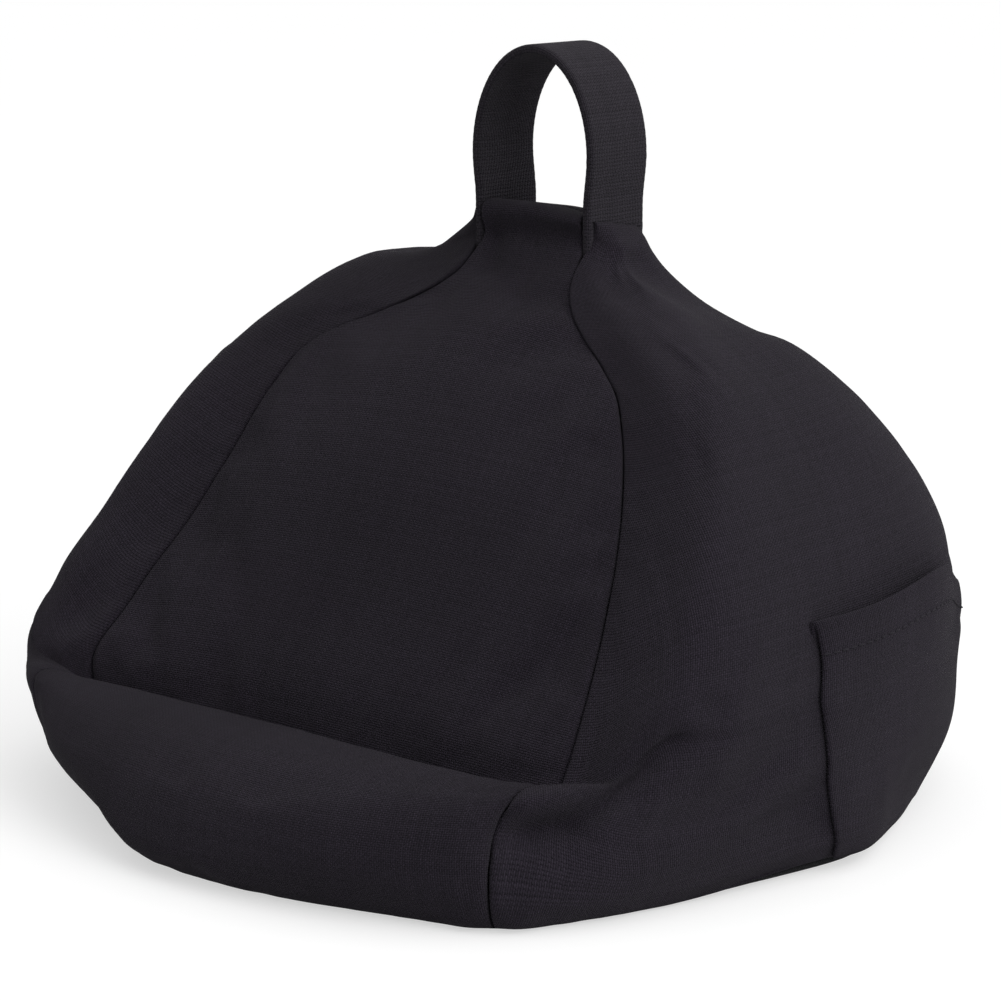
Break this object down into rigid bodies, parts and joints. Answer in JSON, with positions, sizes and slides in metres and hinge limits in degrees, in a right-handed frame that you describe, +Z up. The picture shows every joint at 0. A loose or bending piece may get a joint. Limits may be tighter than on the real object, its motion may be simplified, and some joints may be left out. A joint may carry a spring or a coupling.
{
  "type": "beanbag tablet stand",
  "caption": "Soft beanbag stand with a sloping face and a front lip that holds a tablet upright, a webbing carry loop on top and an open side pocket.",
  "frame": {"origin": "on the flat underside, on the centre plane between the two strap legs, 58 mm in front of the base zip", "axes": "+X to the right of someone facing the tablet, +Y to the back of the stand, +Z up"},
  "size_m": [0.2879, 0.2826, 0.25],
  "materials": {
    "canvas": "charcoal black plain-weave canvas, matte",
    "base_cloth": "black close-woven base cloth, matte",
    "webbing": "black ribbed webbing, matte",
    "zip_tape": "black knitted tape",
    "zip_plastic": "black moulded, satin",
    "zip_metal": "black lacquer, satin",
    "liner_cloth": "undyed thin lining cloth",
    "foam_beads": "white expanded polystyrene beads"
  },
  "bodies": {
    "bag": {"front_lip_panel": "canvas", "tablet_rest_panel": "canvas", "right_side_panel": "canvas", "left_side_panel": "canvas", "back_panel": "canvas", "base_panel_front": "base_cloth", "base_panel_rear": "base_cloth", "side_pocket": "canvas", "zip_tape_front": "zip_tape", "zip_tape_rear": "zip_tape", "zip_teeth_front": "zip_plastic", "zip_teeth_rear": "zip_plastic", "zip_end_stop": "zip_plastic", "zip_top_stop_front": "zip_plastic", "zip_top_stop_rear": "zip_plastic", "inner_liner": "liner_cloth", "bead_filling": "foam_beads"},
    "handle": {"handle_strap": "webbing"},
    "slider": {"zip_slider": "zip_metal"},
    "pull": {"zip_pull": "zip_metal"}
  },
  "joints": [
    {"name": "handle_bend", "type": "hinge", "parent": "bag", "child": "handle", "pos_m": [0, 0.0327, 0.1785], "axis": [1, 0, 0], "range_deg": [-60, 60], "stiffness_Nm_per_rad": 0.05},
    {"name": "zip_travel", "type": "slide", "parent": "bag", "child": "slider", "axis": [1, 0, 0], "range_m": [-0.145, 0]},
    {"name": "pull_swing", "type": "hinge", "parent": "slider", "child": "pull", "pos_m": [0.071, 0.058, 0.0025], "axis": [0, -1, 0], "range_deg": [0, 170]}
  ]
}
